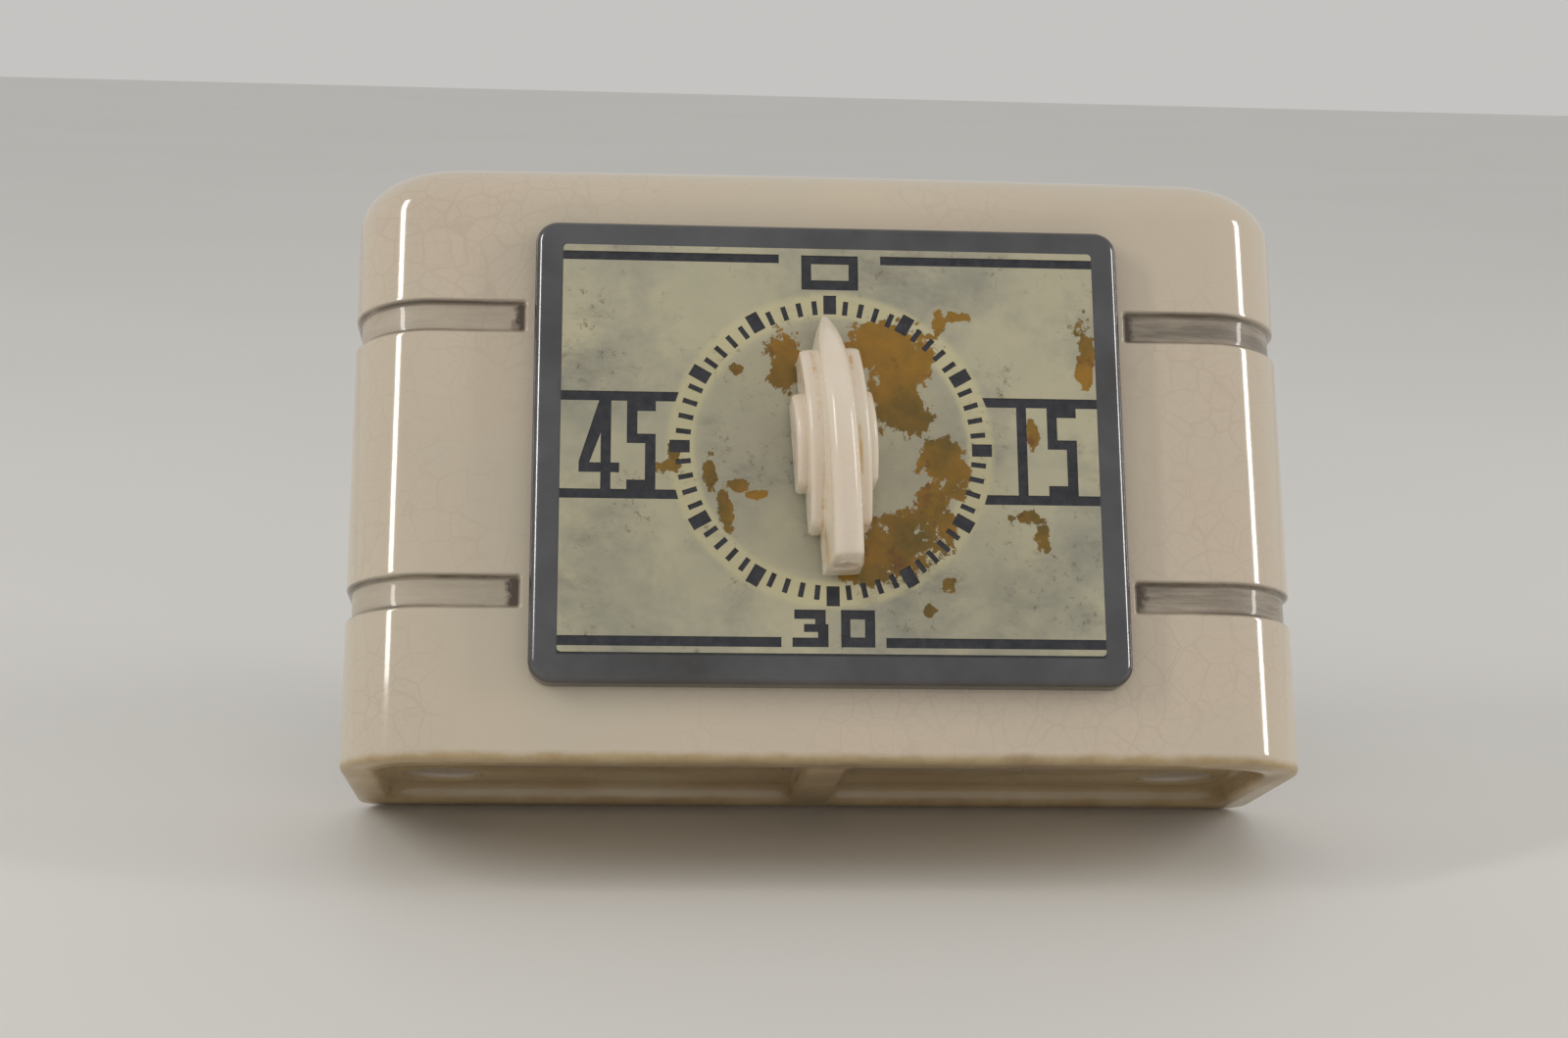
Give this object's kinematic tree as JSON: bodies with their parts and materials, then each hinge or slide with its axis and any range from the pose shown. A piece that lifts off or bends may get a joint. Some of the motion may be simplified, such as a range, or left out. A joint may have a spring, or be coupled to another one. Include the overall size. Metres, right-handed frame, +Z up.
{
  "type": "kitchen timer",
  "caption": "Wind-up kitchen timer in a glazed ceramic case, with a metal dial, a pointer knob, a geared spring movement and a bell.",
  "frame": {"origin": "on the foot plane, under the middle of the case: halfway across its width and its depth", "axes": "+X to the right along the width, +Y to the rear along the depth with the dial facing -Y, +Z up along the height"},
  "size_m": [0.149, 0.0715, 0.097],
  "materials": {
    "glaze": "glossy cream glaze, finely crazed; unglazed tan clay on the foot",
    "chrome_plate": "bright plated sheet metal, brushed on the flat border",
    "enamel": "satin cream enamel, worn through to brown metal in patches",
    "knob_plastic": "polished ivory plastic",
    "brass": "turned brass",
    "brass_plate": "rolled brass sheet, lightly grained",
    "steel": "machined steel",
    "cover_steel": "dull grey lacquer on sheet steel",
    "spring_steel": "blued spring steel",
    "bell_metal": "nickelled bell metal",
    "fibre": "pressed brown fibre"
  },
  "bodies": {
    "root": {"ceramic_case": "glaze", "dial_plate": "chrome_plate", "dial_studs": "brass", "dial_nuts": "brass", "clamp_pads": "fibre", "front_movement_plate": "brass_plate", "rear_movement_plate": "brass_plate", "plate_pillars": "brass", "pillar_screws": "steel", "cover_posts": "brass", "back_cover": "cover_steel", "cover_screws": "steel", "arbor_bushes": "brass", "spring_anchor_post": "brass", "mainspring": "spring_steel", "hammer_post": "brass", "hammer_ring": "spring_steel", "hammer_spring": "spring_steel", "bell_post": "brass", "bell": "bell_metal", "bell_nut": "brass"},
    "winding": {"knob": "knob_plastic", "knob_set_screw": "spring_steel", "winding_arbor": "steel", "ratchet_wheel": "steel", "main_wheel": "brass_plate", "click_rivet": "brass", "click_spring": "spring_steel", "trip_cam": "steel", "arbor_ring": "spring_steel"},
    "click": {"click": "steel"},
    "second": {"second_arbor": "steel", "second_wheel": "brass_plate"},
    "third": {"third_arbor": "steel", "third_wheel": "brass_plate"},
    "escape": {"escape_arbor": "steel", "escape_wheel": "brass_plate"},
    "pallet": {"pallet_arbor": "steel", "pallet_lever": "steel", "balance_weights": "brass"},
    "hammer": {"hammer_arm": "steel", "hammer_head": "brass"}
  },
  "joints": [
    {"name": "knob_turn", "type": "hinge", "parent": "root", "child": "winding", "pos_m": [0, 0, 0.0476], "axis": [0, 1, 0], "range_deg": [0, 358], "deforming": ["mainspring"]},
    {"name": "click_lift", "type": "hinge", "parent": "winding", "child": "click", "pos_m": [-0.00849, 0, 0.05609], "axis": [0, 1, 0], "range_deg": [-12, 0], "stiffness_Nm_per_rad": 0.002, "deforming": ["click_spring"]},
    {"name": "second_turn", "type": "hinge", "parent": "root", "child": "second", "pos_m": [0.01658, 0, 0.03368], "axis": [0, 1, 0], "range_deg": [-1790, 0]},
    {"name": "third_turn", "type": "hinge", "parent": "root", "child": "third", "pos_m": [0.00023, 0, 0.02606], "axis": [0, 1, 0], "range_deg": [0, 7160]},
    {"name": "escape_turn", "type": "hinge", "parent": "root", "child": "escape", "pos_m": [-0.01164, 0, 0.02815], "axis": [0, 1, 0], "range_deg": [-21480, 0]},
    {"name": "pallet_rock", "type": "hinge", "parent": "root", "child": "pallet", "pos_m": [-0.02287, 0, 0.02617], "axis": [0, 1, 0], "range_deg": [-4, 4]},
    {"name": "hammer_swing", "type": "hinge", "parent": "root", "child": "hammer", "pos_m": [0.024, 0, 0.0616], "axis": [0, 1, 0], "range_deg": [-1.2, 14], "stiffness_Nm_per_rad": 0.01, "deforming": ["hammer_spring"]}
  ],
  "couplings": [
    {"joint": "second_turn", "follows": "knob_turn", "ratio": -5},
    {"joint": "third_turn", "follows": "knob_turn", "ratio": 20},
    {"joint": "escape_turn", "follows": "knob_turn", "ratio": -60}
  ]
}
